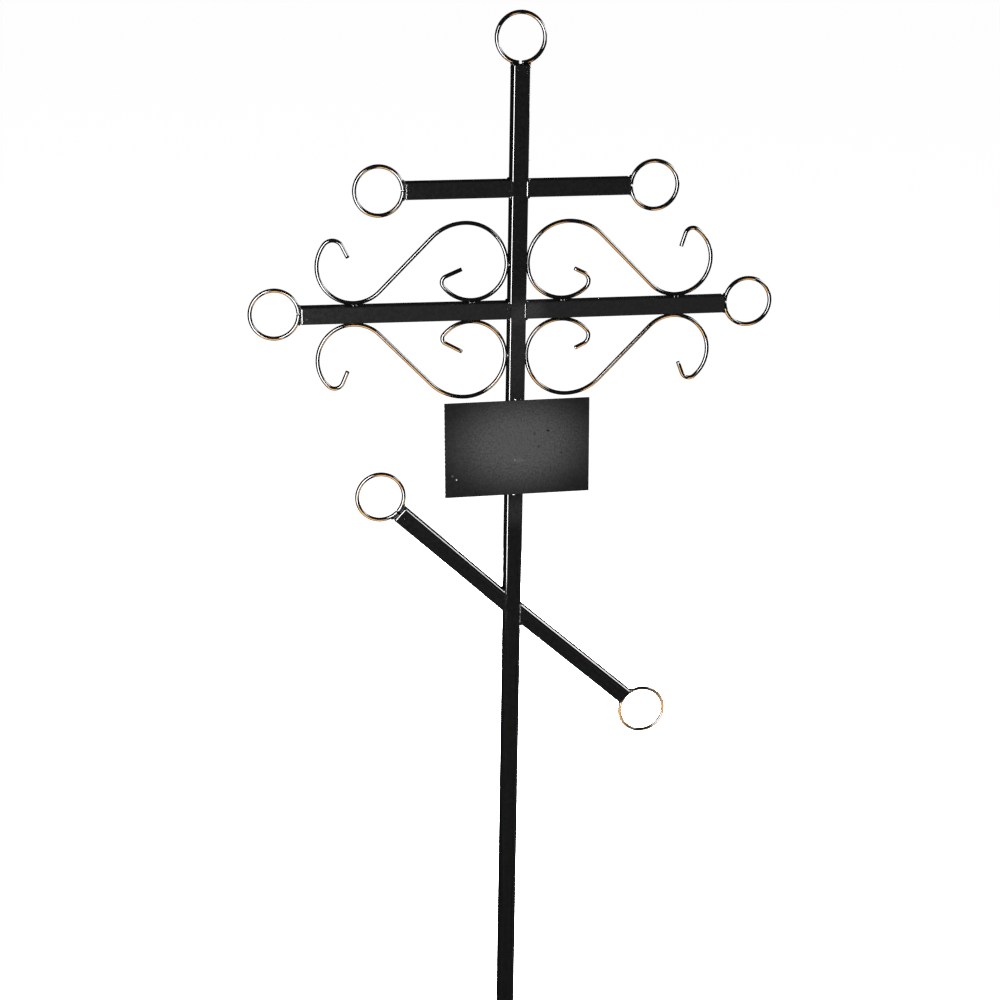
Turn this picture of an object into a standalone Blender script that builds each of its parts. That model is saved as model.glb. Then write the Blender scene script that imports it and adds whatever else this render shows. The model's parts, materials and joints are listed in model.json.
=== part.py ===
"""Wrought iron grave cross: an eight-pointed cross welded from square tube, with rings, scrolls and a plate.

Metres, +Z up. The front faces -Y. The origin is the centre of the post where it enters the ground.
"""
import bpy
import bmesh
from collections import namedtuple
from math import asin, atan2, ceil, cos, degrees, radians, sin
from mathutils import Matrix, Vector

# Stock: square tube, round bar and sheet
TUBE = 0.025             # outside width of the square tube
TUBE_WALL = 0.002
TUBE_CORNER = 0.0025     # outside corner radius of the tube
ROD = 0.006              # round bar of the rings and scrolls
SHEET = 0.002            # name plate
CAP_SHEET = 0.0015       # plates that close the tube ends
GAP = 0.0003             # left between welded neighbours, which the weld metal fills

# Post, and the height of each bar's axis above or below the main bar's
MAIN_HEIGHT = 1.185      # main bar above the ground
POST_ABOVE_MAIN = 0.350
UPPER_RISE = 0.178
FOOT_DROP_LEFT = 0.462   # the slanted bar's two halves were welded on a little out of line
FOOT_DROP_RIGHT = 0.460

# Bars: each half is welded to the post's side, so its length is taken from the post's axis
UPPER_LEFT = 0.1635
UPPER_RIGHT = 0.1625
MAIN_LEFT = 0.315
MAIN_RIGHT = 0.313
FOOT_LEFT = 0.2325
FOOT_RIGHT = 0.240
UPPER_TILT = 0.75        # degrees that a bar rises to the right, as it was welded
MAIN_TILT_LEFT = 0.3
MAIN_TILT_RIGHT = 0.6
FOOT_SLOPE_LEFT = 42.2   # degrees that the slanted bar falls to the right
FOOT_SLOPE_RIGHT = 40.9

# Rings on the tube ends, bent from round bar with the ends meeting at the weld
RING_RADIUS = 0.035      # to the middle of the bar
RING_SPLIT = 0.002       # opening between the bar's two ends
MAIN_RING_LIFT = 0.0018  # the main bar's rings sit above its axis

# Scrolls, all bent on one jig: radii to the middle of the bar
LOOP_RADIUS = 0.052      # inner loop, which touches the main bar and the post
CROWN_RADIUS = 0.061     # from the post over to the top
SHOULDER_RADIUS = 0.070  # from the top into the straight
HEEL_RADIUS = 0.053      # outer loop, which touches the main bar
HEEL_DISTANCE = 0.1725   # between the two touching points on the main bar

# Their ends were hooked by hand, each a little differently. Degrees of turn past the main bar: start is
# where the hook leaves the loop or the heel, and finish is where it runs out into its straight tail.
Hook = namedtuple("Hook", "start finish radius tail")
INNER_HOOKS = {
    "upper_left": Hook(start=54, finish=157, radius=0.0093, tail=0.026),
    "upper_right": Hook(start=43, finish=154, radius=0.0136, tail=0.0155),
    "lower_left": Hook(start=51, finish=152, radius=0.0081, tail=0.0285),
    "lower_right": Hook(start=48, finish=155, radius=0.0136, tail=0.014),
}
OUTER_HOOKS = {
    "upper_left": Hook(start=127, finish=244, radius=0.0155, tail=0.0185),
    "upper_right": Hook(start=145, finish=252, radius=0.0113, tail=0.0205),
    "lower_left": Hook(start=135, finish=247, radius=0.0128, tail=0.019),
    "lower_right": Hook(start=140, finish=249, radius=0.012, tail=0.0185),
}

# Name plate on the front of the post
PLATE_WIDTH = 0.2195
PLATE_HEIGHT = 0.1445
PLATE_DROP = 0.2062      # its centre below the main bar's axis
PLATE_SHIFT = 0.002      # its centre to the right of the post's axis
PLATE_TILT = 1.0         # degrees

# Fineness of the round shapes
CORNER_STEPS = 3
RING_STEPS = 36
ARC_STEP = 10            # degrees between points on the scrolls' wide arcs
HOOK_STEP = 20
ROD_RESOLUTION = 2       # eight sides

BLACK_ENAMEL = (0.012, 0.012, 0.013, 1.0)
ENAMEL_ROUGHNESS = 0.28
PLATE_ROUGHNESS = 0.45

HALF = TUBE / 2
STANDOFF = HALF + GAP + ROD / 2      # from a tube's axis to a bar that lies on its face


def clear_scene():
    """Remove every object that the file opened with."""
    for obj in list(bpy.data.objects):
        bpy.data.objects.remove(obj, do_unlink=True)


def new_collection(name):
    collection = bpy.data.collections.new(name)
    bpy.context.scene.collection.children.link(collection)
    return collection


def enamel(name, roughness=ENAMEL_ROUGHNESS):
    """Glossy black paint over steel."""
    material = bpy.data.materials.new(name + "_enamel")
    material.use_nodes = True
    shader = material.node_tree.nodes["Principled BSDF"]
    shader.inputs["Base Color"].default_value = BLACK_ENAMEL
    shader.inputs["Roughness"].default_value = roughness
    shader.inputs["Metallic"].default_value = 0.0
    return material


def finish(obj, matrix, collection):
    """Place an object, give it its own paint and file it."""
    obj.matrix_world = matrix
    roughness = PLATE_ROUGHNESS if obj.name == "name_plate" else ENAMEL_ROUGHNESS
    obj.data.materials.append(enamel(obj.name, roughness))
    collection.objects.link(obj)
    return obj


def upright(height):
    """Frame on the post's axis at a height, with local Z up."""
    return Matrix.Translation((0, 0, height))


def arm(height, angle):
    """Frame on the post's axis with local Z along an arm, angle in degrees from +X towards +Z."""
    return upright(height) @ Matrix.Rotation(radians(90 - angle), 4, "Y")


def along(frame, distance, lift=0.0):
    """The same frame moved out along its local Z, and across it by lift."""
    return frame @ Matrix.Translation((lift, 0, distance))


def rounded_square(width, radius):
    """Outline of a square with round corners, counter-clockwise."""
    inner = width / 2 - radius
    points = []
    for quarter in range(4):
        centre = Matrix.Rotation(radians(90 * quarter), 2) @ Vector((inner, inner))
        for step in range(CORNER_STEPS + 1):
            angle = radians(90 * quarter + 90 * step / CORNER_STEPS)
            points.append((centre.x + radius * cos(angle), centre.y + radius * sin(angle)))
    return points


def add_outline(curve, points):
    spline = curve.splines.new("POLY")
    spline.points.add(len(points) - 1)
    for target, (x, y) in zip(spline.points, points):
        target.co = (x, y, 0, 1)
    spline.use_cyclic_u = True


def extruded(name, outlines, thickness):
    """Flat outlines, a later one a hole in the first, extruded along local Z about the origin."""
    curve = bpy.data.curves.new(name, "CURVE")
    curve.dimensions = "2D"
    curve.fill_mode = "BOTH"
    curve.extrude = thickness / 2
    for points in outlines:
        add_outline(curve, points)
    return bpy.data.objects.new(name, curve)


def square_tube(name, length):
    """Square tube, open at both ends, centred on its origin along local Z."""
    outside = rounded_square(TUBE, TUBE_CORNER)
    inside = rounded_square(TUBE - 2 * TUBE_WALL, TUBE_CORNER - TUBE_WALL)
    return extruded(name, [outside, inside], length)


def round_bar(name, points):
    """Round bar bent along points, with square-cut ends."""
    curve = bpy.data.curves.new(name, "CURVE")
    curve.dimensions = "3D"
    curve.bevel_depth = ROD / 2
    curve.bevel_resolution = ROD_RESOLUTION
    curve.use_fill_caps = True
    spline = curve.splines.new("POLY")
    spline.points.add(len(points) - 1)
    for target, (x, z) in zip(spline.points, points):
        target.co = (x, 0, z, 1)
    return bpy.data.objects.new(name, curve)


def as_mesh(obj, collection):
    """Turn a placed curve into a mesh object of the same name, with its loose caps welded on."""
    bpy.context.view_layer.update()
    evaluated = obj.evaluated_get(bpy.context.evaluated_depsgraph_get())
    mesh = bpy.data.meshes.new_from_object(evaluated)
    work = bmesh.new()
    work.from_mesh(mesh)
    bmesh.ops.remove_doubles(work, verts=work.verts, dist=1e-6)
    work.to_mesh(mesh)
    work.free()
    name, matrix = obj.name, obj.matrix_world.copy()
    bpy.data.objects.remove(obj, do_unlink=True)
    solid = bpy.data.objects.new(name, mesh)
    solid.matrix_world = matrix
    collection.objects.link(solid)
    return solid


def post_cutter(collection):
    """A box of the post's width with the joint gap, which trims the half bars to the post's sides."""
    bpy.ops.mesh.primitive_cube_add(size=1)
    cutter = bpy.context.object
    cutter.name = "post_cutter"
    height = MAIN_HEIGHT + POST_ABOVE_MAIN
    cutter.data.transform(Matrix.Diagonal((TUBE + 2 * GAP, 2 * TUBE, height, 1)))
    cutter.location.z = height / 2
    for owner in list(cutter.users_collection):
        owner.objects.unlink(cutter)
    collection.objects.link(cutter)
    cutter.hide_render = True
    cutter.display_type = "WIRE"
    return cutter


def half_bar(name, frame, length, cutter, collection):
    """Half of a cross bar, from the post's side to its outer end."""
    tube = finish(square_tube(name, length), along(frame, length / 2), collection)
    tube = as_mesh(tube, collection)
    trim = tube.modifiers.new("trim_to_post", "BOOLEAN")
    trim.object = cutter
    trim.operation = "DIFFERENCE"
    trim.solver = "EXACT"
    return tube


def end_cap(name, frame, length, collection):
    """Plate that closes the tube's end."""
    cap = extruded(name, [rounded_square(TUBE, TUBE_CORNER)], CAP_SHEET)
    return finish(cap, along(frame, length + GAP + CAP_SHEET / 2), collection)


def ring(name, frame, length, lift, collection):
    """Split ring beyond the end cap, with its opening towards the tube."""
    start = asin(RING_SPLIT / 2 / RING_RADIUS)
    turn = radians(360) - 2 * start
    angles = [start + turn * step / RING_STEPS for step in range(RING_STEPS + 1)]
    points = [(RING_RADIUS * sin(angle), -RING_RADIUS * cos(angle)) for angle in angles]
    centre = length + GAP + CAP_SHEET + GAP + ROD / 2 + RING_RADIUS
    return finish(round_bar(name, points), along(frame, centre, lift), collection)


def arc(centre, radius, start, end, step):
    """Points on an arc, angles in degrees, both ends included."""
    count = ceil(abs(end - start) / step)
    angles = [radians(start + (end - start) * index / count) for index in range(count + 1)]
    return [centre + radius * Vector((cos(angle), sin(angle))) for angle in angles]


def on_circle(centre, radius, angle):
    return centre + radius * Vector((cos(radians(angle)), sin(radians(angle))))


def hooked_end(centre, radius, hook):
    """Hook and tail at the end of a circle that touches the main bar, as points from the circle outwards."""
    start, finish = hook.start - 90, hook.finish - 90
    middle = on_circle(centre, radius - hook.radius, start)
    bend = arc(middle, hook.radius, start, finish, HOOK_STEP)
    return bend + [on_circle(bend[-1], hook.tail, finish + 90)]


def scroll_line(inner, outer):
    """Middle line of a scroll from its inner tip to its outer tip.

    The first coordinate runs outward along the main bar and the second away from it, from the point where
    the inner loop touches the bar. Each arc leaves the last one at a tangent, and the straight is the
    inner tangent of the shoulder's circle and the heel's.
    """
    loop = Vector((0, LOOP_RADIUS))
    crown = loop + Vector((CROWN_RADIUS - LOOP_RADIUS, 0))
    shoulder = crown + Vector((0, CROWN_RADIUS - SHOULDER_RADIUS))
    heel = Vector((HEEL_DISTANCE, HEEL_RADIUS))
    between = heel - shoulder
    slope = degrees(asin((SHOULDER_RADIUS + HEEL_RADIUS) / between.length) - atan2(between.y, between.x))
    runs = [
        hooked_end(loop, LOOP_RADIUS, inner)[::-1],
        arc(loop, LOOP_RADIUS, inner.start - 90, -180, ARC_STEP),
        arc(crown, CROWN_RADIUS, 180, 90, ARC_STEP),
        arc(shoulder, SHOULDER_RADIUS, 90, 90 - slope, ARC_STEP),
        arc(heel, HEEL_RADIUS, -90 - slope, outer.start - 90, ARC_STEP),
        hooked_end(heel, HEEL_RADIUS, outer),
    ]
    line = []
    for run in runs:
        line += [point for point in run if not line or (point - line[-1]).length > GAP]
    return line


def scroll(place, side, level, bar_tilt, collection):
    """One scroll: side is 1 right of the post or -1 left, level is 1 above the main bar or -1 below."""
    tilt = radians(bar_tilt)
    rise = STANDOFF + LOOP_RADIUS
    reach = (rise + side * level * rise * sin(tilt)) / cos(tilt)   # so that the loop meets the upright post
    line = scroll_line(INNER_HOOKS[place], OUTER_HOOKS[place])
    points = [(side * (reach + point.x), level * (STANDOFF + point.y)) for point in line]
    lean = Matrix.Rotation(-tilt, 4, "Y")
    return finish(round_bar("scroll_" + place, points), upright(MAIN_HEIGHT) @ lean, collection)


def name_plate(collection):
    """Flat sheet on the front of the post."""
    x, z = PLATE_WIDTH / 2, PLATE_HEIGHT / 2
    plate = extruded("name_plate", [[(-x, -z), (x, -z), (x, z), (-x, z)]], SHEET)
    place = Matrix.Translation((PLATE_SHIFT, -(HALF + GAP + SHEET / 2), MAIN_HEIGHT - PLATE_DROP))
    turn = Matrix.Rotation(radians(-PLATE_TILT), 4, "Y") @ Matrix.Rotation(radians(90), 4, "X")
    return finish(plate, place @ turn, collection)


def build():
    clear_scene()
    cross = new_collection("grave_cross")
    cutters = new_collection("cutters")
    cutter = post_cutter(cutters)

    post_height = MAIN_HEIGHT + POST_ABOVE_MAIN
    finish(square_tube("post", post_height), upright(post_height / 2), cross)
    end_cap("top_cap", upright(0), post_height, cross)
    ring("top_ring", upright(0), post_height, 0, cross)

    halves = [
        ("upper_{}_left", UPPER_RISE, 180 + UPPER_TILT, UPPER_LEFT, 0),
        ("upper_{}_right", UPPER_RISE, UPPER_TILT, UPPER_RIGHT, 0),
        ("main_{}_left", 0, 180 + MAIN_TILT_LEFT, MAIN_LEFT, MAIN_RING_LIFT),
        ("main_{}_right", 0, MAIN_TILT_RIGHT, MAIN_RIGHT, -MAIN_RING_LIFT),
        ("foot_{}_left", -FOOT_DROP_LEFT, 180 - FOOT_SLOPE_LEFT, FOOT_LEFT, 0),
        ("foot_{}_right", -FOOT_DROP_RIGHT, -FOOT_SLOPE_RIGHT, FOOT_RIGHT, 0),
    ]
    for name, rise, angle, length, lift in halves:
        frame = arm(MAIN_HEIGHT + rise, angle)
        half_bar(name.format("bar"), frame, length, cutter, cross)
        end_cap(name.format("cap"), frame, length, cross)
        ring(name.format("ring"), frame, length, lift, cross)

    for level, row in ((1, "upper"), (-1, "lower")):
        scroll(row + "_left", -1, level, MAIN_TILT_LEFT, cross)
        scroll(row + "_right", 1, level, MAIN_TILT_RIGHT, cross)
    name_plate(cross)


build()
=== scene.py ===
import json
import bpy
import numpy as np
from mathutils import Matrix

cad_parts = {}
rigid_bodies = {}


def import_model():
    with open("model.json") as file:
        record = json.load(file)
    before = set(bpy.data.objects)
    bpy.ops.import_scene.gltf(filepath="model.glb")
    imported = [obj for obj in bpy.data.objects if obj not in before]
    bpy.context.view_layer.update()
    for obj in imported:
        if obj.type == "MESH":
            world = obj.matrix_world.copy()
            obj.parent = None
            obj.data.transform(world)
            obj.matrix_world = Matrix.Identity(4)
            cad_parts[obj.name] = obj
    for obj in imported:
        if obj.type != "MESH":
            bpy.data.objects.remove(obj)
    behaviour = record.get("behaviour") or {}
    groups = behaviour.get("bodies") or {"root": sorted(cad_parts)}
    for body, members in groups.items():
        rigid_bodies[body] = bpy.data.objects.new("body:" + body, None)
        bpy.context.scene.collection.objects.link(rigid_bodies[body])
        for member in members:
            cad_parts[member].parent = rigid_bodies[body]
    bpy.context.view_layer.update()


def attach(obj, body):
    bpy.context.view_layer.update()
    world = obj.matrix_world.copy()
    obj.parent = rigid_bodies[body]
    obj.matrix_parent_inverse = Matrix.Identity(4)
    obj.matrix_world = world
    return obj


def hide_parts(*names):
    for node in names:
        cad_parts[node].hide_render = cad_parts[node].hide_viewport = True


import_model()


# The post: 25 mm square steel tube with 2 mm walls and drawn, rounded corners. It stands in the ground
# and carries every other piece. Like the rest of the cross it is brushed with glossy black enamel.

TUBE = 0.025
HALF = TUBE / 2
TUBE_WALL = 0.002
TUBE_CORNER = 0.0025
MAIN_HEIGHT = 1.185      # axis of the main bar
POST_TOP = MAIN_HEIGHT + 0.350
GAP = 0.0003             # between welded neighbours

quarter = np.array([[0.0, 1.0], [-1.0, 0.0]])
quarter_turns = [np.linalg.matrix_power(quarter, k) for k in range(4)]


def arm(height, angle):
    """Axes of an arm: where it leaves the post's axis, the way across it and the way along it. The angle is
    in degrees from +X towards +Z; across is along turned back by a quarter."""
    turn = np.radians(angle)
    along = np.array([np.cos(turn), 0.0, np.sin(turn)])
    return np.array([0.0, 0.0, height]), np.array([along[2], 0.0, -along[0]]), along


def placed(axes, across, depth, along):
    """Points of an arm: its start plus so much across it, back from its middle plane and along it."""
    start, side, out = axes
    across, depth, along = np.broadcast_arrays(across, depth, along)
    back = np.array([0.0, 1.0, 0.0])
    return start + across[..., None] * side + depth[..., None] * back + along[..., None] * out


def unit(turn):
    """Flat directions at angles in radians."""
    return np.stack([np.cos(turn), np.sin(turn)], -1)


def rounded_square(width, radius, flat_points=2, corner_steps=8):
    """Outline of a square with round corners and its outward directions. Each side is a straight run that
    stops a little short of the corner, and each corner is a quarter circle."""
    short = 0.0003
    reach = width / 2 - radius
    flat = np.linspace(short - reach, reach - short, flat_points)
    bend = unit(np.linspace(0, np.pi / 2, corner_steps + 1))
    straight = np.stack([np.full(flat_points, width / 2), flat], 1)
    side = np.concatenate([straight, reach + radius * bend])
    facing = np.concatenate([np.tile([1.0, 0.0], (flat_points, 1)), bend])
    outline = np.concatenate([side @ turn for turn in quarter_turns])
    return outline, np.concatenate([facing @ turn for turn in quarter_turns])


def in_scene(name, data):
    """Object for a mesh, a light or a camera, linked to the scene."""
    thing = bpy.data.objects.new(name, data)
    bpy.context.scene.collection.objects.link(thing)
    return thing


def loft(name, stacks, joined=False, crease=32):
    """Skin over stacks of closed loops, each an array of rows by points by 3. Every loop is joined to the
    next by a band of quads, and the first and last are closed flat, or joined to each other. The sum of the
    faces' signed pyramids to the middle shows which way is out."""
    points, faces, first = [], [], 0
    for loops in stacks:
        rows, count = loops.shape[:2]
        index = np.arange(rows * count).reshape(rows, count)
        if joined:
            index = np.concatenate([index, index[:1]])
        beside = np.roll(index, -1, axis=1)
        bands = np.stack([index[:-1], beside[:-1], beside[1:], index[1:]], -1).reshape(-1, 4)
        flat = loops.reshape(-1, 3)
        a, b, c, d = np.moveaxis(flat[bands] - flat.mean(0), 1, 0)
        inside_out = np.sum(a * (np.cross(b, c) + np.cross(c, d))) < 0
        order = -1 if inside_out else 1
        faces += (bands[:, ::order] + first).tolist()
        if not joined:
            faces += [(index[0, ::-order] + first).tolist(), (index[-1, ::order] + first).tolist()]
        points.append(flat)
        first += len(flat)
    mesh = bpy.data.meshes.new(name)
    mesh.from_pydata(np.concatenate(points).tolist(), [], faces)
    mesh.shade_smooth()
    mesh.set_sharp_from_angle(angle=np.radians(crease))
    return in_scene(name, mesh)


def square_tube(name, axes, near, far):
    """Tube with its walls: the outer outline at both ends, then the inner one back again. near is the
    distance along the arm where it starts, for each point of an outline, as a function of across."""
    outer = rounded_square(TUBE, TUBE_CORNER)[0].T
    inner = rounded_square(TUBE - 2 * TUBE_WALL, TUBE_CORNER - TUBE_WALL)[0].T
    loops = [
        placed(axes, *outer, near(outer[0])),
        placed(axes, *outer, far),
        placed(axes, *inner, far),
        placed(axes, *inner, near(inner[0])),
    ]
    return loft(name, [np.stack(loops)], joined=True)


def linked(tree, kind, settings=(), **wires):
    """Node of one kind with its settings. Its inputs, by name or by number as i0, i1 and so on, are set to
    a value or wired to another node's output."""
    node = tree.nodes.new(kind)
    for setting, value in dict(settings).items():
        setattr(node, setting, value)
    for key, value in wires.items():
        socket = node.inputs[int(key[1:])] if key[0] == "i" and key[1:].isdigit() else node.inputs[key]
        if isinstance(value, bpy.types.NodeSocket):
            tree.links.new(value, socket)
        else:
            socket.default_value = value
    return node


def maths(tree, operation, *values, clamp=False):
    """Result of one sum on two or three numbers."""
    wires = {f"i{number}": value for number, value in enumerate(values)}
    return linked(tree, "ShaderNodeMath", {"operation": operation, "use_clamp": clamp}, **wires).outputs[0]


def vector_maths(tree, operation, *values):
    """Node that does one sum on whole vectors."""
    wires = {f"i{number}": value for number, value in enumerate(values)}
    return linked(tree, "ShaderNodeVectorMath", {"operation": operation}, **wires)


def ramp(tree, value, low, high, at_low, at_high, kind="SMOOTHSTEP"):
    """Number that goes from at_low, up to where the value is low, to at_high, from where it is high."""
    node = linked(tree, "ShaderNodeMapRange", {"interpolation_type": kind}, i0=value, i1=low, i2=high,
                  i3=at_low, i4=at_high)
    return node.outputs[0]


def noise(tree, place, scale, detail, roughness):
    """Noise with so many waves to the metre."""
    node = linked(tree, "ShaderNodeTexNoise", Vector=place, Scale=scale, Detail=detail, Roughness=roughness)
    return node.outputs[0]


def mixed(tree, share, first, second):
    """Colour that is the first where the share is 0 and the second where it is 1."""
    return linked(tree, "ShaderNodeMix", {"data_type": "RGBA"}, i0=share, i6=first, i7=second).outputs[2]


def node_group(name, inputs, outputs):
    """Node group with its sockets, each a name and a kind of value: the group itself, what it is given, and
    the sockets for its result."""
    tree = bpy.data.node_groups.new(name, "ShaderNodeTree")
    for way, sockets in (("INPUT", inputs), ("OUTPUT", outputs)):
        for socket, kind in sockets.items():
            tree.interface.new_socket(socket, in_out=way, socket_type="NodeSocket" + kind)
    return tree, tree.nodes.new("NodeGroupInput").outputs, tree.nodes.new("NodeGroupOutput").inputs


def enamel_coat():
    """Brushed enamel as a node group. Fine orange peel, slow sags and dust nibs add up to a height in
    millimetres; a slow mottle and the nibs lay a thin dust over the paint and dull it. A nib is the middle
    of a cell, and few cells have one."""
    tree, given, result = node_group(
        "enamel_coat",
        {"Place": "Vector", "Paint": "Color", "Dust": "Color", "Dusting": "Float", "Gloss": "Float",
         "Dulling": "Float", "Peel": "Float", "Sag": "Float", "Nibs": "Float"},
        {"Colour": "Color", "Roughness": "Float", "Height": "Float"},
    )
    place = given["Place"]
    cells_without_nib = 0.955
    nib_size = 0.22
    nib_dust = 0.6
    peel = noise(tree, place, 620.0, 2.0, 0.5)
    sag = noise(tree, place, 70.0, 1.0, 0.4)
    mottle = noise(tree, place, 170.0, 4.0, 0.6)
    cells = linked(tree, "ShaderNodeTexVoronoi", Vector=place, Scale=330.0)
    pick = linked(tree, "ShaderNodeSeparateColor", i0=cells.outputs["Color"])
    chosen = maths(tree, "GREATER_THAN", pick.outputs[0], cells_without_nib)
    dot = ramp(tree, cells.outputs["Distance"], 0.0, nib_size, 1.0, 0.0)
    nib = maths(tree, "MULTIPLY", chosen, dot)
    cloud = ramp(tree, mottle, 0.35, 0.72, 0.0, 1.0)
    dusty = maths(tree, "MULTIPLY_ADD", nib, nib_dust, cloud, clamp=True)
    cover = maths(tree, "MULTIPLY", dusty, given["Dusting"])
    colour = mixed(tree, cover, given["Paint"], given["Dust"])
    dull = maths(tree, "MULTIPLY_ADD", dusty, given["Dulling"], given["Gloss"], clamp=True)
    fine = maths(tree, "MULTIPLY", peel, given["Peel"])
    slow = maths(tree, "MULTIPLY_ADD", sag, given["Sag"], fine)
    height = maths(tree, "MULTIPLY_ADD", nib, given["Nibs"], slow)
    tree.links.new(colour, result["Colour"])
    tree.links.new(dull, result["Roughness"])
    tree.links.new(height, result["Height"])
    return tree


def film_and_painted_sheen():
    """Mask as a node group, for smudges of chalky film and for a painted sheen: full near the centre, and
    gone where the distance from it, counted in the reach along each axis, comes to 1.15. A fine noise breaks
    it up, and thickness scales it."""
    tree, given, result = node_group(
        "film_and_painted_sheen",
        {"Place": "Vector", "Centre": "Vector", "Reach": "Vector", "Thickness": "Float"},
        {"Mask": "Float"},
    )
    offset = vector_maths(tree, "SUBTRACT", given["Place"], given["Centre"]).outputs[0]
    share = vector_maths(tree, "DIVIDE", offset, given["Reach"]).outputs[0]
    far = vector_maths(tree, "LENGTH", share).outputs["Value"]
    fall = ramp(tree, far, 0.15, 1.15, 1.0, 0.0)
    grain = noise(tree, given["Place"], 330.0, 3.0, 0.65)
    broken = ramp(tree, grain, 0.25, 0.75, 0.35, 1.65, kind="LINEAR")
    film_and_sheen = maths(tree, "MULTIPLY", fall, broken)
    thick = maths(tree, "MULTIPLY", film_and_sheen, given["Thickness"], clamp=True)
    tree.links.new(thick, result["Mask"])
    return tree


coat = enamel_coat()
film_and_sheen_tree = film_and_painted_sheen()


def enamel(name, paint, dust, dusting, gloss, dulling, peel, sag, nibs, films_and_sheen=()):
    """Black enamel with its own values for the coat: paint is a grey, and heights are in millimetres. Each
    film, mark and painted sheen on it is a thickness, a grey, a centre and a reach."""
    material = bpy.data.materials.new(name)
    material.use_nodes = True
    tree = material.node_tree
    shader = tree.nodes["Principled BSDF"]
    place = tree.nodes.new("ShaderNodeTexCoord").outputs["Object"]
    layer = linked(tree, "ShaderNodeGroup", {"node_tree": coat}, Place=place,
                   Paint=(paint, paint, paint, 1.0), Dust=(*dust, 1.0), Dusting=dusting, Gloss=gloss,
                   Dulling=dulling, Peel=peel, Sag=sag, Nibs=nibs)
    millimetre = 0.001
    relief = linked(tree, "ShaderNodeBump", Strength=1.0, Distance=millimetre, Height=layer.outputs["Height"])
    colour = layer.outputs["Colour"]
    # Each film, mark and painted sheen is laid over the paint as its own grey
    for thickness, grey, centre, reach in films_and_sheen:
        film_and_sheen = linked(tree, "ShaderNodeGroup", {"node_tree": film_and_sheen_tree}, Place=place, Centre=centre, Reach=reach,
                      Thickness=thickness)
        colour = mixed(tree, film_and_sheen.outputs["Mask"], colour, (grey, grey, 0.99 * grey, 1.0))
    tree.links.new(colour, shader.inputs["Base Color"])
    tree.links.new(layer.outputs["Roughness"], shader.inputs["Roughness"])
    tree.links.new(relief.outputs[0], shader.inputs["Normal"])
    shader.inputs["IOR"].default_value = 1.5
    return material


tube_coat = dict(dust=(0.030, 0.029, 0.028), dusting=0.025, gloss=0.075, dulling=0.03, peel=0.0022, sag=0.007,
                 nibs=0.012)
# Smudges on the post's front: below the main crossing, on it, and under the name plate
tube_enamel = enamel("tube_enamel", paint=0.0011, **tube_coat, films_and_sheen=[
    (0.14, 0.014, (0.0, -HALF, MAIN_HEIGHT - 0.06), (0.05, 0.05, 0.10)),
    (0.18, 0.014, (0.004, -HALF, MAIN_HEIGHT - 0.004), (0.03, 0.05, 0.022)),
    (0.16, 0.014, (0.003, -HALF, MAIN_HEIGHT - 0.305), (0.03, 0.05, 0.030)),
])


def fitted(piece, material, slot, *nodes):
    """Paint a finished piece, fix it to the cross and let it stand for its CAD nodes."""
    piece.data.materials.append(material)
    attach(piece, "root")
    if nodes:
        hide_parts(*nodes)


post = square_tube("post_tube", arm(0, 90), lambda across: 0.0 * across, POST_TOP)
fitted(post, tube_enamel, "tube", "post")


# The cross bars: each is two lengths of the same tube, one welded to each side of the post, with the near
# end sawn to the post's side. The short top bar and the main bar rise a little to the right, and the foot
# bar slants down to the right.

# For each half: the height where its axis meets the post's, its angle and where it ends, from the post's axis
bars = {
    "upper_left": (MAIN_HEIGHT + 0.178, 180.75, 0.1635),
    "upper_right": (MAIN_HEIGHT + 0.178, 0.75, 0.1625),
    "main_left": (MAIN_HEIGHT, 180.3, 0.315),
    "main_right": (MAIN_HEIGHT, 0.6, 0.313),
    "foot_left": (MAIN_HEIGHT - 0.462, 180 - 42.2, 0.2325),
    "foot_right": (MAIN_HEIGHT - 0.460, -40.9, 0.240),
}


def cad_name(name, kind):
    """CAD node of a bar, cap or ring: the kind goes between the level and the hand."""
    level, _, hand = name.partition("_")
    return "_".join(filter(None, (level, kind, hand)))


def post_side(axes):
    """Distance along an arm to the post's side, for points so far across it: the side is a plane."""
    _, side, out = axes
    return lambda across: (np.sign(out[0]) * (HALF + GAP) - across * side[0]) / out[0]


# The main bar has a smudge of its own beside the post
bar_enamels = {
    "upper": enamel("upper_bar_enamel", paint=0.0015, **tube_coat),
    "main": enamel("main_bar_enamel", paint=0.0025, **tube_coat, films_and_sheen=[
        (0.26, 0.014, (0.020, -HALF, MAIN_HEIGHT), (0.026, 0.05, 0.022)),
    ]),
    "foot": tube_enamel,
}
for name, (height, angle, length) in bars.items():
    axes = arm(height, angle)
    bar = square_tube(name + "_bar_tube", axes, post_side(axes), length)
    fitted(bar, bar_enamels[name.split("_")[0]], "tube", cad_name(name, "bar"))


# The joints of the bars with the post: arc welds run round each sawn end. The front and back are ground
# flush before painting, and the corners above and below keep their rounded, rippled fillets.

def full_turn(count):
    """Angles of so many points all the way round."""
    return np.linspace(0, 2 * np.pi, count, endpoint=False)


def wobble(turn, cycles, seed):
    """Even ripple with a hand's unevenness: five waves near the asked number of cycles, each with its own
    strength and start, added up and scaled to about one."""
    chance = np.random.default_rng(seed)
    waves = 5
    counts = np.round(cycles * np.linspace(0.45, 1.25, waves))
    strengths = chance.uniform(0.3, 1.0, waves)
    starts = chance.uniform(0, 2 * np.pi, waves)
    return (strengths * np.sin(turn[..., None] * counts + starts)).sum(-1) / strengths.sum()


def between(value, low, high):
    """Smooth step from 0 at low to 1 at high."""
    share = np.clip((value - low) / (high - low), 0, 1)
    return share * share * (3 - 2 * share)


weld_enamel = enamel("weld_enamel", paint=0.0014, dust=(0.032, 0.030, 0.028), dusting=0.05, gloss=0.11,
                     dulling=0.08, peel=0.006, sag=0.015, nibs=0.015)


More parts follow.
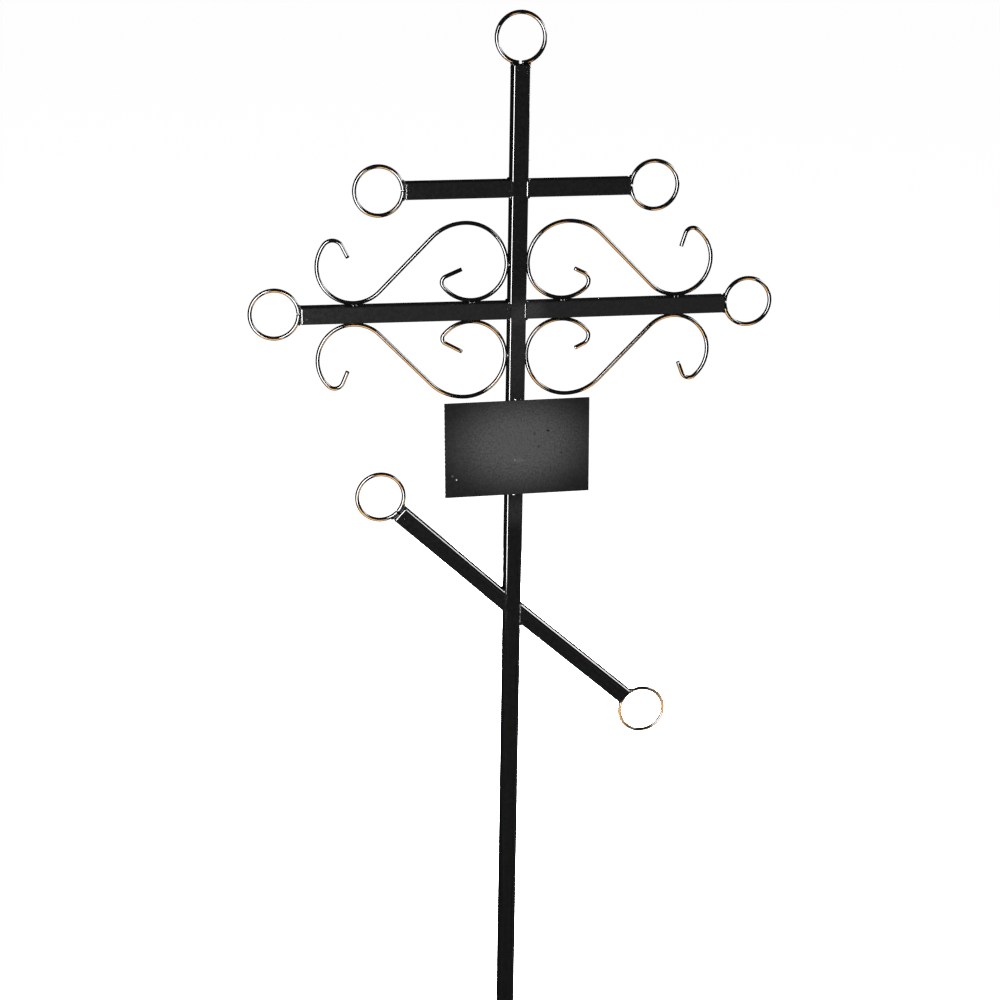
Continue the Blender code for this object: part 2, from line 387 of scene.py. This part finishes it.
def bead(axes, outline, facing, along, crown, half_width, half_height, flatness):
    """Bead carried round a tube's outline. Its section is an ellipse where flatness is 0 and nears a box
    where it is 1. Its top stands over the outline by the crown, and along is where its middle lies."""
    boxiness = 0.72
    turn = full_turn(24)
    power = (1 - boxiness * flatness)[:, None]
    rise, run = (np.sign(wave) * np.abs(wave) ** power for wave in (np.cos(turn), np.sin(turn)))
    height = (crown - half_height)[:, None] + half_height[:, None] * rise
    return placed(
        axes,
        outline[:, :1] + facing[:, :1] * height,
        outline[:, 1:] + facing[:, 1:] * height,
        along[:, None] + half_width[:, None] * run,
    )


def joint_weld(name, axes, ridge, seed):
    """Bead round a bar's sawn end. Above and below it is round and fills the corner with the post; in front
    and behind it fills the groove beside the post's rounded corner, level with the faces. Where a ridge is
    left in front, it is rounded and comes and goes with the ripple."""
    fillet = 0.0022          # over the tube, above and below
    flush = 0.00001          # over its front, and under its back
    trace = 0.00004          # of the ripple in front
    thickness = 0.0025
    unevenness = 0.00022
    inset = 0.0010           # towards the post, in front and behind
    widening = 0.0003
    patchiness = 0.8         # of a ridge
    rounding = 0.8
    outline, facing = rounded_square(TUBE, TUBE_CORNER, flat_points=22, corner_steps=6)
    ripple = wobble(full_turn(len(outline)), 40, seed)
    front = between(-facing[:, 1], 0.25, 0.9)
    back = between(facing[:, 1], 0.25, 0.9)
    level = np.maximum(front, back)
    crown = fillet * (1 - level) + front * (flush + trace * ripple) - back * flush
    crown += front * ridge * (1 + patchiness * ripple)
    rounded = front * (ridge > 0)
    radius = thickness + unevenness * ripple * (1 - level)
    along = post_side(axes)(outline[:, 0]) - inset * level
    half_width = radius + widening * level
    loops = bead(axes, outline, facing, along, crown, half_width, radius, level - rounding * rounded)
    return loft(name, [loops], joined=True, crease=60)


# Height of the ridge that grinding left in front of some joints
joint_ridges = {"upper_right": 0.00026, "main_right": 0.00006, "foot_right": 0.00006}
for seed, (name, (height, angle, _)) in enumerate(bars.items()):
    weld = joint_weld(name + "_joint_weld", arm(height, angle), joint_ridges.get(name, 0.0), seed + 10)
    fitted(weld, weld_enamel, "tube")


# The ends of the tubes: a 1.5 mm steel plate closes each one, with its edges knocked off by the grinder.
# A thin rippled bead runs round the seam, and is ground level at the back.

CAP_SHEET = 0.0015
ends = {"top": (0.0, 90.0, POST_TOP), **bars}


def end_plate(name, axes, length):
    """Closing plate: four outlines along the arm, the first and last drawn in by a chamfer."""
    chamfer = 0.0003
    rows = ((chamfer, 0), (0, chamfer), (0, CAP_SHEET - chamfer), (chamfer, CAP_SHEET))
    loops = [
        placed(axes, *rounded_square(TUBE - 2 * inset, TUBE_CORNER - inset)[0].T, length + GAP + along)
        for inset, along in rows
    ]
    return loft(name, [np.stack(loops)])


def end_weld(name, axes, length, ridge, seed):
    """Bead round the seam of an end plate, ground to a low flat band: a trace of its ripple is left above,
    below and in front, and none at the back. Where a ridge is left in front, it is low and rounded."""
    seam = 0.0005            # middle of the bead past the tube's end
    wander = 0.0002
    size = 0.0013            # half its width and thickness
    widening = 0.0004        # where it is rounded
    thinning = 0.0006
    band = 0.00014           # over the tube, and the ripple left on it
    band_ripple = 0.00010
    cut = 0.00013            # taken off in front, more on the ripple's tops
    cut_ripple = 0.00007
    flush = 0.00001          # under the back
    patchiness = 0.6
    rounding = 0.8
    outline, facing = rounded_square(TUBE, TUBE_CORNER, flat_points=24, corner_steps=8)
    turn = full_turn(len(outline))
    ripple = wobble(turn, 40, seed)
    front = between(-facing[:, 1], 0.25, 0.9)
    back = between(facing[:, 1], 0.1, 0.7)
    crown = (1 - back) * (band + band_ripple * ripple) - front * (cut + cut_ripple * ripple) - back * flush
    crown += front * ridge * (1 + patchiness * ripple)
    along = length + seam + wander * wobble(turn, 9, seed + 50)
    rounded = front * (ridge > 0)
    flatness = 0.4 + 0.5 * np.maximum(front, back) - rounding * rounded
    half_width = size + widening * rounded
    half_height = size - thinning * rounded
    loops = bead(axes, outline, facing, along, crown, half_width, half_height, flatness)
    return loft(name, [loops], joined=True, crease=60)


# Height of the ridge that is left in front of some end plates
end_ridges = {"foot_left": 0.00020, "main_left": 0.00009, "upper_left": 0.00005}
for seed, (name, (height, angle, length)) in enumerate(ends.items()):
    axes = arm(height, angle)
    plate = end_plate(name + "_end_plate", axes, length)
    fitted(plate, tube_enamel, "tube", cad_name(name, "cap"))
    weld = end_weld(name + "_end_weld", axes, length, end_ridges.get(name, 0.0), seed + 20)
    fitted(weld, weld_enamel, "tube")


# The rings: 6 mm round bar bent cold into a ring of 76 mm outside, its two ends left a little apart and
# facing the tube. The weld fills the wedge between the bent bar and the end plate on both sides of it.

ROD = 0.006
RING_RADIUS = 0.035
# For each ring: the split between its ends, how far it sits off the tube's axis, and the height of its weld
rings = {
    "top": (0.0046, 0.0, 0.0020),
    "upper_left": (0.0018, 0.0, 0.0014),
    "upper_right": (0.0028, 0.0, 0.0030),
    "main_left": (0.0018, 0.0018, 0.0013),
    "main_right": (0.0018, -0.0018, 0.0026),
    "foot_left": (0.0016, 0.0, 0.0013),
    "foot_right": (0.0014, 0.0, 0.0024),
}
rod_enamel = enamel("rod_enamel", paint=0.0006, dust=(0.022, 0.020, 0.018), dusting=0.02, gloss=0.05,
                    dulling=0.03, peel=0.0003, sag=0.002, nibs=0.003)


def round_bar(name, line):
    """Round bar along a flat line of (x, z) points: a circle carried square to it. The last bit at each end
    is drawn in, as the edge of a sawn end that a file has touched."""
    file_cut = 0.0004
    ahead = np.gradient(line, axis=0)
    ahead /= np.linalg.norm(ahead, axis=1, keepdims=True)
    line = np.concatenate([line[:1], line[:1] + ahead[:1] * file_cut, line[1:-1],
                           line[-1:] - ahead[-1:] * file_cut, line[-1:]])
    ahead = np.concatenate([ahead[:1], ahead, ahead[-1:]])
    radius = np.full(len(line), ROD / 2)
    radius[[0, -1]] -= file_cut
    around = full_turn(20)
    sideways = radius[:, None] * np.cos(around)
    x = line[:, :1] - ahead[:, 1:] * sideways
    y = radius[:, None] * np.sin(around)
    z = line[:, 1:] + ahead[:, :1] * sideways
    return loft(name, [np.stack([x, y, z], -1)], crease=50)


def ring(name, axes, centre, lift, split):
    """Ring of round bar beyond the end plate: a circle that starts and ends half the split from the tube."""
    start = np.arcsin(split / 2 / RING_RADIUS)
    turn = np.linspace(start, 2 * np.pi - start, 121)
    line = placed(axes, lift + RING_RADIUS * np.sin(turn), 0.0, centre - RING_RADIUS * np.cos(turn))
    return round_bar(name, line[:, [0, 2]])


def lump(centre, along, radii, seed, rows=15, columns=18):
    """Blob of weld metal: a sphere's latitudes and longitudes, stretched along the joint, square to it and
    in depth, with its radius varied by slow waves of the direction. along is a flat direction (x, z)."""
    pole_gap = 0.04
    waves = 5
    unevenness = 0.2
    pole = np.linspace(pole_gap, np.pi - pole_gap, rows)[:, None]
    turn = full_turn(columns)[None, :]
    sphere = (np.cos(pole), np.sin(pole) * np.cos(turn), np.sin(pole) * np.sin(turn))
    ways = np.stack(np.broadcast_arrays(*sphere), -1)
    chance = np.random.default_rng(seed)
    crests = chance.normal(0, 2.6, (3, waves))
    starts = chance.uniform(0, 6.28, waves)
    swell = np.sin(ways @ crests + starts).sum(-1) / waves
    spread = ways * np.asarray(radii) * (1 + unevenness * swell)[..., None]
    ahead = np.asarray(along, dtype=float) / np.hypot(*along)
    x = centre[0] + spread[..., 0] * ahead[0] - spread[..., 1] * ahead[1]
    z = centre[2] + spread[..., 0] * ahead[1] + spread[..., 1] * ahead[0]
    return np.stack([x, centre[1] + spread[..., 2], z], -1)


def ring_weld(name, axes, seat, lift, split, fill, seed):
    """Weld metal between ring and end plate: a section carried across the tube. Beside the bar it stands a
    little higher than the outside of the ring, from there it slopes to the plate in front and behind, and it
    dips in a vee to the ring's split. At both sides a blob runs up along the ring."""
    half_across = 0.0123
    half_depth = 0.0086
    over_bar = 0.0011
    roughness = 0.00022
    vee_floor = 0.0002
    vee_flat = 0.0001        # half the width of its floor
    vee_rise = 0.0058        # at the split's edge
    sunk = 0.0001            # the thin rim lies in the plate
    root = 0.0006            # and the underside deeper
    blob_across = 0.0129
    blob_rise = 0.0018
    blob_lean = 0.55
    blob_radii = (0.0027, 0.0013, 0.0046)
    share = np.sin(np.linspace(-np.pi / 2, np.pi / 2, 71))[:, None]
    depth = np.linspace(-1, 1, 27)[None, :]
    across = half_across * share
    outer = RING_RADIUS + ROD / 2
    wedge = outer - np.sqrt(outer ** 2 - (across - lift) ** 2)
    ripple = wobble(share * 3 + 0 * depth, 8, seed) * (0.6 + 0.4 * wobble(depth * 2 + 0 * share, 4, seed + 1))
    slope = 1 - np.abs(depth) ** 1.5
    vee = vee_floor + np.maximum(np.abs(across - lift) - vee_flat, 0) * 2 * vee_rise / split
    level = (np.maximum(fill, wedge + over_bar) + roughness * ripple) * slope
    fade = (1 - np.abs(share) ** 14) ** 0.5
    top = np.minimum(level, vee) * fade - sunk
    across, deep, top = np.broadcast_arrays(across, half_depth * depth, top)
    under = np.full_like(top, -root)
    stacks = [placed(
        axes,
        np.concatenate([across, across], 1),
        np.concatenate([deep, deep[:, ::-1]], 1),
        seat + np.concatenate([top, under], 1),
    )]
    for side in (-1, 1):
        place = placed(axes, side * blob_across, 0.0, seat + blob_rise)
        lean = axes[1] * side + blob_lean * axes[2]
        stacks.append(lump(place, lean[[0, 2]], blob_radii, seed + side))
    return loft(name, stacks, crease=60)


for seed, (name, (height, angle, length)) in enumerate(ends.items()):
    axes = arm(height, angle)
    seat = length + GAP + CAP_SHEET
    split, lift, fill = rings[name]
    loop = ring(name + "_ring_bar", axes, seat + GAP + ROD / 2 + RING_RADIUS, lift, split)
    fitted(loop, rod_enamel, "round_bar", cad_name(name, "ring"))
    weld = ring_weld(name + "_ring_weld", axes, seat, lift, split, fill, seed + 30)
    fitted(weld, weld_enamel, "tube")


# The four scrolls: the same round bar bent round a jig, an inner loop by the post, a wide crown, a long
# straight and an outer loop, with both tips hooked over by hand. Each touches the post once and the main
# bar twice, and is tacked there.

STANDOFF = HALF + GAP + ROD / 2
LOOP_RADIUS = 0.052
CROWN_RADIUS = 0.061
SHOULDER_RADIUS = 0.070
HEEL_RADIUS = 0.053
HEEL_DISTANCE = 0.1725
TACK_DEPTH = -0.0012                    # middle of a tack, a little in front of the bar's
TACK_RADII = (0.0052, 0.0019, 0.0036)
main_tilts = {-1: 0.3, 1: 0.6}          # degrees that the main bar rises to the right, on each side
# Hooked tips: the turns past the main bar where the hook starts and ends, its radius and its straight tail
inner_hooks = {"upper_left": (54, 157, 0.0093, 0.026), "upper_right": (43, 154, 0.0136, 0.0155),
               "lower_left": (51, 152, 0.0081, 0.0285), "lower_right": (48, 155, 0.0136, 0.014)}
outer_hooks = {"upper_left": (127, 244, 0.0155, 0.0185), "upper_right": (145, 252, 0.0113, 0.0205),
               "lower_left": (135, 247, 0.0128, 0.019), "lower_right": (140, 249, 0.012, 0.0185)}


def arc(centre, radius, start, end):
    """Points on an arc, angles in degrees, no further apart than a distance and an angle."""
    most_apart = 0.0025
    most_turned = 6
    sweep = np.radians(abs(end - start))
    count = int(np.ceil(max(sweep * radius / most_apart, np.degrees(sweep) / most_turned)))
    return np.asarray(centre) + radius * unit(np.radians(np.linspace(start, end, count + 1)))


def hooked_tip(centre, radius, hook):
    """Tip of a scroll: a tighter arc inside the loop's circle, which leaves it at a tangent, then a straight
    tail along the arc's last direction."""
    start, finish, bend_radius, tail = hook
    middle = np.asarray(centre) + (radius - bend_radius) * unit(np.radians(start - 90))
    bend = arc(middle, bend_radius, start - 90, finish - 90)
    steps = np.linspace(0, tail, 6)[1:, None]
    return np.concatenate([bend, bend[-1] + steps * unit(np.radians(finish))])


def scroll_line(inner, outer):
    """Middle line of a scroll, measured out along the main bar and away from it, from the inner touching
    point. The straight is the inner tangent of the shoulder's circle and the heel's."""
    loop = np.array([0.0, LOOP_RADIUS])
    crown = loop + (CROWN_RADIUS - LOOP_RADIUS, 0)
    shoulder = crown + (0, CROWN_RADIUS - SHOULDER_RADIUS)
    heel = np.array([HEEL_DISTANCE, HEEL_RADIUS])
    gap = heel - shoulder
    crossing = np.arcsin((SHOULDER_RADIUS + HEEL_RADIUS) / np.hypot(*gap))
    slope = np.degrees(crossing - np.arctan2(gap[1], gap[0]))
    last = arc(shoulder, SHOULDER_RADIUS, 90, 90 - slope)
    first = arc(heel, HEEL_RADIUS, -90 - slope, outer[0] - 90)
    runs = [
        hooked_tip(loop, LOOP_RADIUS, inner)[::-1],
        arc(loop, LOOP_RADIUS, inner[0] - 90, -180)[1:],
        arc(crown, CROWN_RADIUS, 180, 90)[1:],
        last[1:],
        np.linspace(last[-1], first[0], 24)[1:],
        first[1:],
        hooked_tip(heel, HEEL_RADIUS, outer)[1:],
    ]
    return np.concatenate(runs)


def tilted(x, z, tilt):
    """Flat points turned about the middle, from +X towards +Z."""
    return x * np.cos(tilt) - z * np.sin(tilt), x * np.sin(tilt) + z * np.cos(tilt)


def from_jig(side, level, points):
    """Place jig points (out along the bar, away from it) by the cross: mirrored to the side and the level,
    set off by the loop that meets the upright post, and turned with the main bar about its middle."""
    tilt = np.radians(main_tilts[side])
    rise = STANDOFF + LOOP_RADIUS
    reach = (rise + side * level * rise * np.sin(tilt)) / np.cos(tilt)
    x, z = tilted(side * (reach + points[:, 0]), level * (STANDOFF + points[:, 1]), tilt)
    return np.stack([x, MAIN_HEIGHT + z], 1)


# Where a scroll is tacked on the jig, and the way that each tack runs
touches = np.array([[0.0, -ROD / 2], [HEEL_DISTANCE, -ROD / 2], [-LOOP_RADIUS - ROD / 2, LOOP_RADIUS]])
tacks = {"inner": (1, 0), "outer": (1, 0), "post": (0, 1)}
for seed, (name, hook) in enumerate(inner_hooks.items()):
    level = 1 if name.startswith("upper") else -1
    side = 1 if name.endswith("right") else -1
    line = from_jig(side, level, scroll_line(hook, outer_hooks[name]))
    bar = round_bar("scroll_" + name + "_bar", line)
    fitted(bar, rod_enamel, "round_bar", "scroll_" + name)
    spots = from_jig(side, level, touches)
    for number, ((word, along), (x, z)) in enumerate(zip(tacks.items(), spots)):
        tack = lump((x, TACK_DEPTH, z), along, TACK_RADII, 100 + 10 * seed + number)
        piece = loft("scroll_" + name + "_" + word + "_tack", [tack], crease=70)
        fitted(piece, weld_enamel, "round_bar")


# The name plate: 2 mm sheet, sheared to size, with its edges filed and its left edge nibbled. It lies flat
# on the front of the post and is tacked to it above and below.

PLATE_WIDTH = 0.2195
PLATE_HEIGHT = 0.1445
SHEET = 0.002
PLATE_FRONT = -(HALF + GAP + SHEET)
MARK_DEPTH = 0.0016                     # reach of a mark behind the front
PLATE_TACK_DEPTH = -0.0127
PLATE_TACK_RADII = (0.0055, 0.0026, 0.0017)
plate_centre = np.array([0.002, -(HALF + GAP + SHEET / 2), MAIN_HEIGHT - 0.2062])
plate_tilt = np.radians(1.0)

# A painted sheen over the whole front, lighter in the middle and fading towards the edges, then dark marks on
# it, light specks and a smear: each is a thickness, a grey, where it is from left to right and in height, and
# how far it reaches both ways
plate_marks_and_sheen = [
    # Painted sheen: a lighter grey over the middle of the front that stands in for a soft reflection
    (1.0, 0.0138, 0.0060, 0.9848, 0.1220, 0.0840),
    (1.0, 0.0010, 0.0482, 1.0038, 0.0034, 0.0022),
    (0.6, 0.0014, 0.0277, 0.9998, 0.0020, 0.0044),
    (0.7, 0.0014, 0.0346, 0.9796, 0.0020, 0.0032),
    (0.7, 0.0014, 0.0689, 0.9691, 0.0032, 0.0018),
    (1.0, 0.1200, -0.0897, 0.9323, 0.0014, 0.0013),
    (0.7, 0.0200, -0.0958, 0.9379, 0.0026, 0.0020),
    (1.0, 0.0400, -0.0013, 0.9600, 0.0018, 0.0013),
    (0.4, 0.0230, 0.0060, 0.9590, 0.0080, 0.0040),
]
plate_enamel = enamel("plate_enamel", paint=0.0020, dust=(0.026, 0.026, 0.0255), dusting=0.03, gloss=0.08,
                      dulling=0.03, peel=0.0015, sag=0.004, nibs=0.004, films_and_sheen=[
    (thickness, grey, (x, PLATE_FRONT, z), (wide, MARK_DEPTH, high))
    for thickness, grey, x, z, wide, high in plate_marks_and_sheen
])


def name_plate(name):
    """Sheet: its outline, with points every 0.6 mm, carried through the thickness and drawn in by a small
    chamfer at both faces. The outline's corners are rounded and the left edge is nibbled."""
    corner = 0.0008
    chamfer = 0.0002
    bite = 0.0005
    tooth = 0.0002
    worn = 0.00025           # off the whole left edge
    half_width = PLATE_WIDTH / 2
    half_height = PLATE_HEIGHT / 2
    bend = unit(np.linspace(0, np.pi / 2, 5)) * corner
    long_run = np.linspace(half_width - corner, corner - half_width, 360)[1:-1]
    short_run = np.linspace(half_height - corner, corner - half_height, 240)[1:-1]
    signs = np.array([[1, 1], [-1, 1], [-1, -1], [1, -1]])
    reach = np.array([half_width - corner, half_height - corner])
    rounds = [bend @ quarter_turns[k] + signs[k] * reach for k in range(4)]
    top = np.stack([long_run, np.full_like(long_run, half_height)], 1)
    left = np.stack([np.full_like(short_run, -half_width), short_run], 1)
    nibbles = bite * wobble(short_run * 60, 24, 5) + tooth * wobble(short_run * 60, 90, 6)
    left[:, 0] += np.maximum(worn + nibbles, 0)
    bottom = np.stack([-long_run, np.full_like(long_run, -half_height)], 1)
    right = np.stack([np.full_like(short_run, half_width), -short_run], 1)
    outline = np.concatenate([rounds[0], top, rounds[1], left, rounds[2], bottom, rounds[3], right])
    front = np.array([[chamfer, -SHEET / 2], [0.0, chamfer - SHEET / 2]])
    rows = np.concatenate([front, front[::-1] * (1, -1)])
    shrink = 1 - rows[:, 0, None] / np.array([half_width, half_height])
    flat = outline[None] * shrink[:, None]
    x, z = tilted(flat[..., 0], flat[..., 1], plate_tilt)
    y = np.broadcast_to(rows[:, 1, None], x.shape)
    return loft(name, [np.stack([x, y, z], -1) + plate_centre], crease=25)


fitted(name_plate("name_plate_sheet"), plate_enamel, "plate", "name_plate")
top_edge = plate_centre[2] + PLATE_HEIGHT / 2
foot_edge = plate_centre[2] - PLATE_HEIGHT / 2
plate_tacks = {"top": (0.0015, top_edge + 0.0006), "bottom": (0.0010, foot_edge - 0.0008)}
for seed, (word, (x, z)) in enumerate(plate_tacks.items()):
    tack = lump((x, PLATE_TACK_DEPTH, z), (1, 0), PLATE_TACK_RADII, 200 + seed)
    fitted(loft("name_plate_" + word + "_tack", [tack], crease=70), weld_enamel, "plate")


# Spatter: drops of weld metal that flew off and stuck, painted over with the rest. A few larger ones stand
# out at the post's edges below the top ring and over the upper bar.

drops = []


def spatter(place, radii):
    """Drop of weld metal, with few faces and its own seed."""
    drops.append(lump(place, (1, 0), radii, 300 + len(drops), rows=7, columns=8))


BY_POST = 0.018          # where the drops by a joint lie, along its arm
BY_END = 0.006           # and by the tube's end, back from it
SPREAD_ACROSS = 0.0095
SPREAD_ALONG = 0.007
chance = np.random.default_rng(7)
for name, (height, angle, length) in ends.items():
    axes = arm(height, angle)
    welds = [length - BY_END] if name == "top" else [BY_POST, length - BY_END]
    count = 3 if name == "top" else 2
    for distance in welds:
        across = chance.uniform(-SPREAD_ACROSS, SPREAD_ACROSS, count)
        along = distance + chance.uniform(-SPREAD_ALONG, SPREAD_ALONG, count)
        sizes = chance.uniform(0.00025, 0.0005, count)
        for spot, size in zip(placed(axes, across, -HALF, along), sizes):
            spatter(spot, (size, size, 0.7 * size))
# The larger drops, each a place and a radius
larger = [(-0.0126, 0.0095, 1.5320, 0.0009), (0.0127, -0.0100, 1.5378, 0.0007),
          (0.0127, -0.0100, 1.5340, 0.0008), (0.0125, -0.0108, 1.4035, 0.0008),
          (-0.0058, -0.0125, 1.5305, 0.0006), (0.0078, -0.0125, 1.5290, 0.0006)]
for x, y, z, size in larger:
    spatter((x, y, z), (size, 1.1 * size, size))
fitted(loft("weld_spatter", drops, crease=80), weld_enamel, "tube")


# The studio: a pale floor that runs out of sight, soft white panels to the left, the right and behind, and
# small cards that the round bars or the foot bars alone mirror. The cross stands on it at the origin.

def floor_sheet(name, reach):
    """Square sheet at ground level: four points, so far from the middle along both axes."""
    corners = [(-reach, -reach, 0.0), (reach, -reach, 0.0), (reach, reach, 0.0), (-reach, reach, 0.0)]
    mesh = bpy.data.meshes.new(name)
    mesh.from_pydata(corners, [], [(0, 1, 2, 3)])
    return in_scene(name, mesh)


floor = floor_sheet("studio_floor", 60.0)
pale = bpy.data.materials.new("pale_floor")
pale.use_nodes = True
pale_shader = pale.node_tree.nodes["Principled BSDF"]
pale_shader.inputs["Base Color"].default_value = (0.85, 0.85, 0.85, 1.0)
pale_shader.inputs["Roughness"].default_value = 1.0
pale_shader.inputs["Specular IOR Level"].default_value = 0.0
pale_shader.inputs["Emission Color"].default_value = (1.0, 1.0, 1.0, 1.0)
pale_shader.inputs["Emission Strength"].default_value = 0.97
floor.data.materials.append(pale)
floor.visible_glossy = False
floor.visible_diffuse = False
floor.visible_shadow = False


def basis(forward):
    """Right and up of something that looks along forward: right is level, and up is square to both."""
    forward = np.asarray(forward, dtype=float) / np.linalg.norm(forward)
    right = np.cross(forward, (0.0, 0.0, 1.0))
    right /= np.linalg.norm(right)
    return right, np.cross(right, forward), forward


def aimed(thing, place, right, up, forward):
    """Put a light or a camera at a place, looking along forward."""
    thing.matrix_world = Matrix((*zip(right, up, -forward, place), (0.0, 0.0, 0.0, 1.0)))


def panel(name, place, target, width, height, brightness, colour=(1.0, 1.0, 1.0)):
    """Soft rectangular light that the camera doesn't see; brightness is what a mirror of it shows."""
    light = bpy.data.lights.new(name, "AREA")
    light.shape = "RECTANGLE"
    light.size = width
    light.size_y = height
    light.energy = brightness * np.pi * width * height
    light.color = colour
    lamp = in_scene(name, light)
    lamp.visible_camera = False
    aimed(lamp, place, *basis(np.asarray(target) - np.asarray(place)))
    return lamp


# Panels and cards, each with its place, the point that it faces, its width, height and brightness
WARM = (1.0, 0.53, 0.19)
panel("left_panel", (-0.757, -1.742, 0.865), (0.0, 0.0, 0.865), 0.80, 1.47, 72.0)
panel("right_panel", (1.75, -0.75, 2.10), (0.0, 0.0, 1.1), 1.35, 0.7, 24.0)
panel("back_panel", (1.9, 1.0, 1.7), (0.0, 0.0, 1.1), 1.0, 0.9, 14.0)
back_fill = panel("back_fill", (1.3, 1.7, 1.3), (0.0, 0.0, 1.0), 2.4, 2.0, 70.0)
back_fill.visible_glossy = False
warm_card = panel("warm_card", (-0.41, -0.76, 0.18), (-0.16, 0.0, 1.2), 0.98, 0.8, 30.0, WARM)
side_card = panel("side_card", (0.76, -0.76, 0.18), (0.5, 0.0, 1.2), 0.52, 0.8, 30.0, WARM)
high_card = panel("high_card", (-0.60, -2.05, 1.75), (0.0, 0.0, 1.2), 0.45, 0.36, 80.0)
foot_card = panel("foot_card", (1.75, -0.75, 1.35), (0.0, 0.0, 0.7), 1.35, 0.7, 30.0)

# What each card lights: all the round bars, all but the upper left scroll, or the foot bars
round_bars = bpy.data.collections.new("round_bars")
warm_bars = bpy.data.collections.new("warm_bars")
foot_bars = bpy.data.collections.new("foot_bars")
for piece in list(bpy.data.objects):
    if piece.name.endswith("_ring_bar") or piece.name.startswith("scroll_") and piece.name.endswith("_bar"):
        round_bars.objects.link(piece)
        if piece.name != "scroll_upper_left_bar":
            warm_bars.objects.link(piece)
    if piece.name.startswith("foot_") and piece.name.endswith("_tube"):
        foot_bars.objects.link(piece)
high_card.light_linking.receiver_collection = round_bars
warm_card.light_linking.receiver_collection = warm_bars
side_card.light_linking.receiver_collection = warm_bars
foot_card.light_linking.receiver_collection = foot_bars

# The room: white where the camera sees it, and otherwise dim, in front more than behind
world = bpy.data.worlds.new("studio")
bpy.context.scene.world = world
world.use_nodes = True
sky = world.node_tree
sky.nodes.clear()
way = linked(sky, "ShaderNodeSeparateXYZ", Vector=linked(sky, "ShaderNodeTexCoord").outputs["Generated"])
faint = ramp(sky, way.outputs[1], -0.1, 0.45, 0.034, 0.006)
white = linked(sky, "ShaderNodeBackground", Color=(1.0, 1.0, 1.0, 1.0), Strength=1.0)
dim = linked(sky, "ShaderNodeBackground", Color=(0.95, 0.98, 1.0, 1.0), Strength=faint)
seen = linked(sky, "ShaderNodeLightPath").outputs["Is Camera Ray"]
either = linked(sky, "ShaderNodeMixShader", i0=seen, i1=dim.outputs[0], i2=white.outputs[0])
linked(sky, "ShaderNodeOutputWorld", Surface=either.outputs[0])


# The camera: about three metres away, to the left of the cross and above it, looking down, with the slight
# roll of a hand-held one.

camera_data = bpy.data.cameras.new("camera")
camera_data.lens = 70.86
camera_data.sensor_width = 36.0
camera = in_scene("camera", camera_data)
right, up, forward = basis((0.1829, 0.9428, -0.2788))
roll = np.radians(0.855)
aimed(camera, (-0.5636, -2.8003, 1.7223), right * np.cos(roll) + up * np.sin(roll),
      up * np.cos(roll) - right * np.sin(roll), forward)
bpy.context.scene.camera = camera
bpy.context.scene.view_settings.view_transform = "Standard"
bpy.context.scene.view_settings.look = "None"
